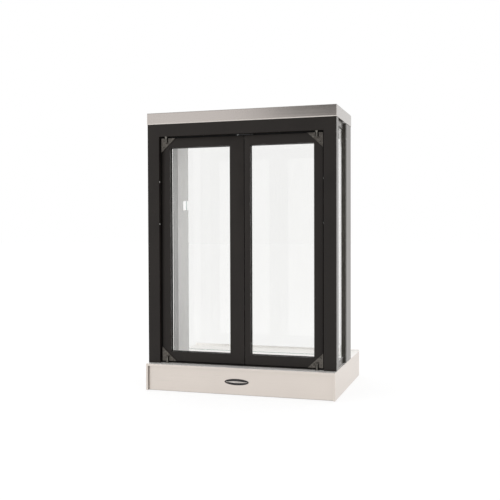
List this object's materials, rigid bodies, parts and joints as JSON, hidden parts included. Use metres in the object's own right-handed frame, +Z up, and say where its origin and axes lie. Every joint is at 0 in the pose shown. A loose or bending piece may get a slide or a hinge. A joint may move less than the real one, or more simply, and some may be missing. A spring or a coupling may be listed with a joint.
{
  "type": "food holding cabinet",
  "caption": "Tall countertop holding cabinet with two pivot-hung glass doors in a black frame, side windows, a rear glass door and a heated base with fan and rear controls.",
  "frame": {"origin": "centre of the base's footprint, on the surface the cabinet stands on", "axes": "+Z up, the two front doors face -Y, +X to the right seen from the front"},
  "size_m": [0.613, 0.444, 0.8825],
  "materials": {
    "stainless": "fine brushed",
    "black_paint": "satin black",
    "clear_glass": "clear toughened",
    "black_rubber": "matt",
    "zinc_plate": "dull zinc plate",
    "bright_metal": "turned and polished",
    "aluminium": "mill finish",
    "dark_steel": "heat-darkened",
    "black_plastic": "fine grain",
    "red_lens": "translucent red",
    "white_plastic": "satin white",
    "lamp_glass": "frosted white"
  },
  "bodies": {
    "cabinet": {"base_shell": "stainless", "base_front_panel": "stainless", "base_bottom_pan": "stainless", "floor_grille": "stainless", "control_panel": "stainless", "top_cap": "stainless", "side_panel_left": "stainless", "side_panel_right": "stainless", "rear_header": "stainless", "ceiling_panel": "stainless", "face_frame": "black_paint", "side_glass_left": "clear_glass", "side_glass_right": "clear_glass", "foot_front_left": "black_rubber", "foot_front_right": "black_rubber", "foot_rear_left": "black_rubber", "foot_rear_right": "black_rubber", "heater_bracket_left": "zinc_plate", "heater_bracket_right": "zinc_plate", "blower_housing": "zinc_plate", "thermostat_body": "zinc_plate", "pivot_pin_left_top": "bright_metal", "pivot_pin_left_bottom": "bright_metal", "pivot_pin_right_top": "bright_metal", "pivot_pin_right_bottom": "bright_metal", "rear_pivot_top": "bright_metal", "rear_pivot_bottom": "bright_metal", "side_retainer_left": "aluminium", "side_retainer_right": "aluminium", "lamp_housing": "aluminium", "heater_element": "dark_steel", "blower_motor": "dark_steel", "nameplate": "black_plastic", "power_switch_body": "black_plastic", "power_inlet": "black_plastic", "door_catch": "black_plastic", "pilot_light": "red_lens", "lamp_socket_left": "white_plastic", "lamp_socket_right": "white_plastic", "lamp_lens": "white_plastic", "lamp_tube": "lamp_glass"},
    "left_door": {"door_frame_left": "black_paint", "door_glass_left": "clear_glass", "door_bead_left": "black_rubber", "pivot_bracket_left_top": "zinc_plate", "pivot_bracket_left_bottom": "zinc_plate"},
    "right_door": {"door_frame_right": "black_paint", "door_glass_right": "clear_glass", "door_bead_right": "black_rubber", "pivot_bracket_right_top": "zinc_plate", "pivot_bracket_right_bottom": "zinc_plate"},
    "rear_door": {"rear_door_glass": "clear_glass", "rear_clamp_top": "bright_metal", "rear_clamp_bottom": "bright_metal"},
    "blower_rotor": {"blower_wheel": "aluminium"},
    "temperature_knob": {"thermostat_knob": "black_plastic"},
    "power_button": {"power_rocker": "black_plastic"}
  },
  "joints": [
    {"name": "left_door_swing", "type": "hinge", "parent": "cabinet", "child": "left_door", "pos_m": [-0.244, -0.192, 0.4475], "axis": [0, 0, -1], "range_deg": [0, 110]},
    {"name": "right_door_swing", "type": "hinge", "parent": "cabinet", "child": "right_door", "pos_m": [0.244, -0.192, 0.4475], "axis": [0, 0, 1], "range_deg": [0, 110]},
    {"name": "rear_door_swing", "type": "hinge", "parent": "cabinet", "child": "rear_door", "pos_m": [0.291, 0.0558, 0.4565], "axis": [0, 0, -1], "range_deg": [0, 110]},
    {"name": "blower_spin", "type": "hinge", "parent": "cabinet", "child": "blower_rotor", "pos_m": [0.06, 0.111, 0.0465], "axis": [0, 0, 1], "continuous": true},
    {"name": "thermostat_turn", "type": "hinge", "parent": "cabinet", "child": "temperature_knob", "pos_m": [-0.19, 0.208, 0.0445], "axis": [0, -1, 0], "range_deg": [0, 270]},
    {"name": "power_tilt", "type": "hinge", "parent": "cabinet", "child": "power_button", "pos_m": [-0.095, 0.193, 0.0445], "axis": [-1, 0, 0], "range_deg": [0, 20]}
  ]
}
